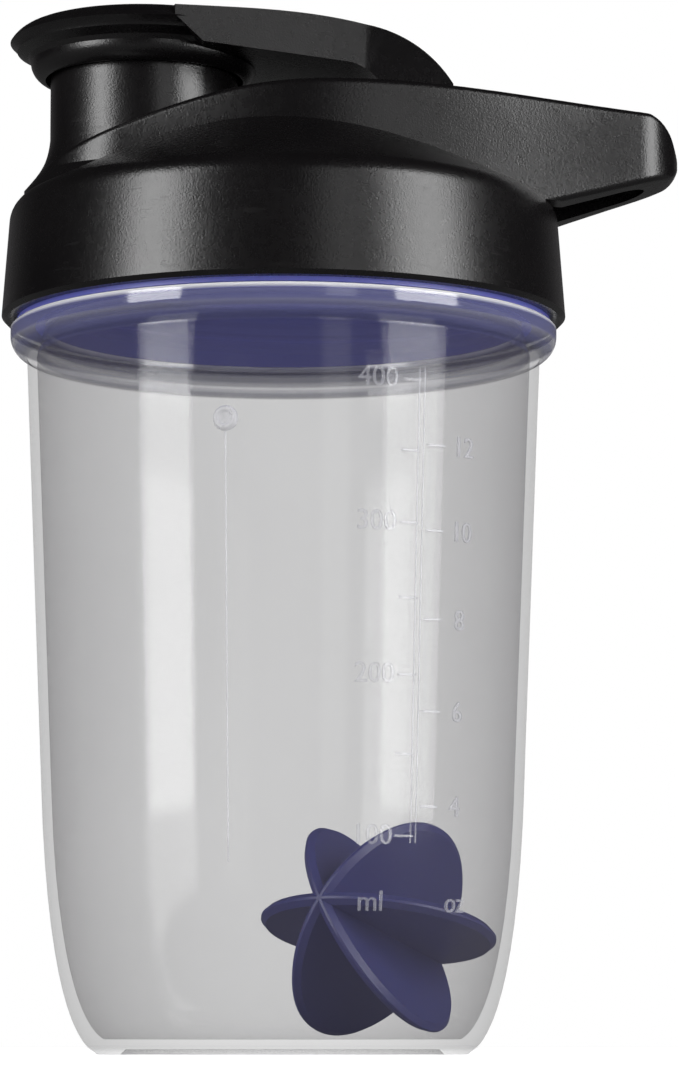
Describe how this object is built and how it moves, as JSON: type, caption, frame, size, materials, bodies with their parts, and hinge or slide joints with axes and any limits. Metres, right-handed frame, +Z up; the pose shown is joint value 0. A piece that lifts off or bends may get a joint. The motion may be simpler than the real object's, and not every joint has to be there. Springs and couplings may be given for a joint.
{
  "type": "protein shaker bottle",
  "caption": "Clear shaker bottle with a threaded cup, a black screw lid with a drinking spout and carry loop, a hinged flip cap and a loose disc agitator.",
  "frame": {"origin": "centre of the cup's standing ring, on the surface that the bottle stands on", "axes": "+Z up along the cup's axis, +X towards the carry loop, -X towards the drinking spout, +Y across the lid along the flip cap's hinge"},
  "size_m": [0.1048, 0.0872, 0.1588],
  "materials": {
    "clear_plastic": "clear, slightly milky polypropylene with a smooth moulded surface",
    "black_plastic": "black moulded polypropylene with a fine satin texture",
    "indigo_plastic": "muted indigo moulded polypropylene, slightly translucent",
    "clear_silicone": "milky silicone, smooth and soft",
    "grey_silicone": "dark grey silicone, matt",
    "pin_steel": "drawn stainless steel wire"
  },
  "bodies": {
    "cup": {"cup": "clear_plastic"},
    "seal": {"lid_seal": "clear_silicone"},
    "lid": {"lid_shell": "black_plastic", "lid_liner": "indigo_plastic", "hinge_pin": "pin_steel"},
    "flip_cap": {"flip_cap": "black_plastic", "spout_seal": "grey_silicone"},
    "agitator": {"agitator": "indigo_plastic"}
  },
  "joints": [
    {"name": "lid_rise", "type": "slide", "parent": "cup", "child": "seal", "axis": [0, 0, 1], "range_m": [0, 0.0075]},
    {"name": "lid_turn", "type": "hinge", "parent": "seal", "child": "lid", "pos_m": [0, 0, 0.12], "axis": [0, 0, 1], "range_deg": [0, 540]},
    {"name": "cap_flip", "type": "hinge", "parent": "lid", "child": "flip_cap", "pos_m": [0.0218, 0, 0.145], "axis": [0, 1, 0], "range_deg": [0, 105]},
    {"name": "agitator_bounce", "type": "slide", "parent": "cup", "child": "agitator", "axis": [0, 0, 1], "range_m": [0, 0.08]}
  ],
  "couplings": [
    {"joint": "lid_rise", "follows": "lid_turn", "m_per_rad": 0.00079577}
  ]
}
